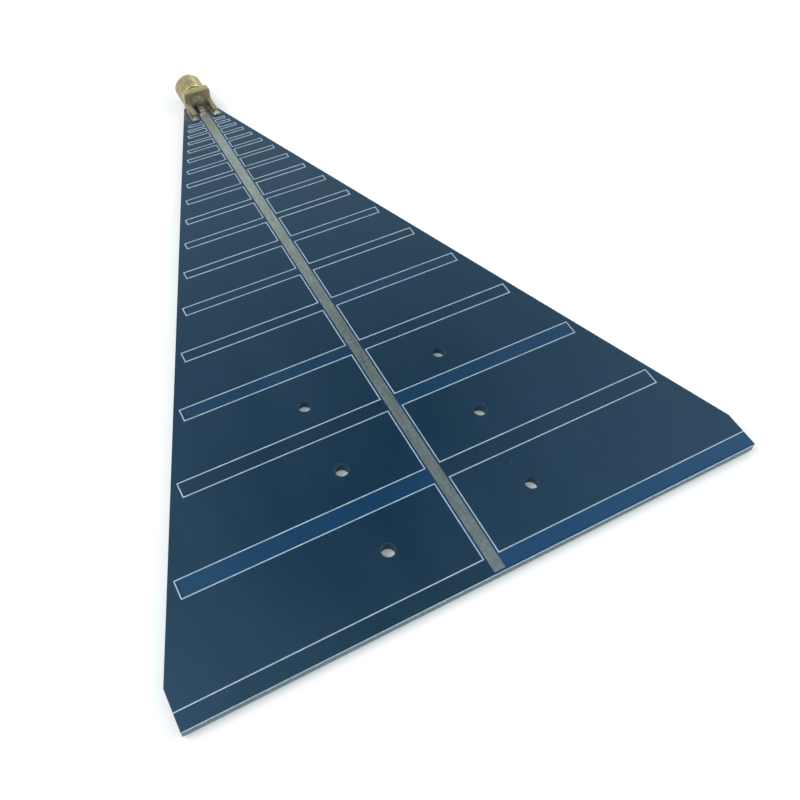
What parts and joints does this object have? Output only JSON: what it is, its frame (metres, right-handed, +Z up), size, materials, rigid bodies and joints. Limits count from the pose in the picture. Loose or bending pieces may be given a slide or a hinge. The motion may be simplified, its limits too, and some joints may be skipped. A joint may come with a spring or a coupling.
{
  "type": "log-periodic antenna",
  "caption": "Flat tapered board with stepped dipole arms along a bare feed line, mounting holes near its wide end and an edge coaxial jack at its tip.",
  "frame": {"origin": "middle of the four outer mounting holes, on the lower face of the laminate", "axes": "+Y along the feed line from the wide end to the tip, which is the way the antenna points; +X across the board; +Z up out of the front face, the one that the jack's tail is soldered to"},
  "size_m": [0.11, 0.1448, 0.0063],
  "materials": {
    "laminate": "sawn glass-fibre laminate",
    "copper": "etched copper foil",
    "tin": "levelled tin, slightly dull",
    "mask": "glossy blue solder mask",
    "ink": "printed white ink",
    "gold": "gold plating",
    "insulator": "natural white fluoropolymer",
    "solder": "bright solder"
  },
  "bodies": {
    "root": {"laminate": "laminate", "front_copper": "copper", "back_copper": "copper", "front_tin": "tin", "back_tin": "tin", "front_mask": "mask", "back_mask": "mask", "printed_outline": "ink", "jack_body": "gold", "jack_insulator": "insulator", "jack_contact": "gold", "tail_solder": "solder", "front_leg_solder": "solder", "back_leg_solder": "solder"}
  },
  "joints": []
}
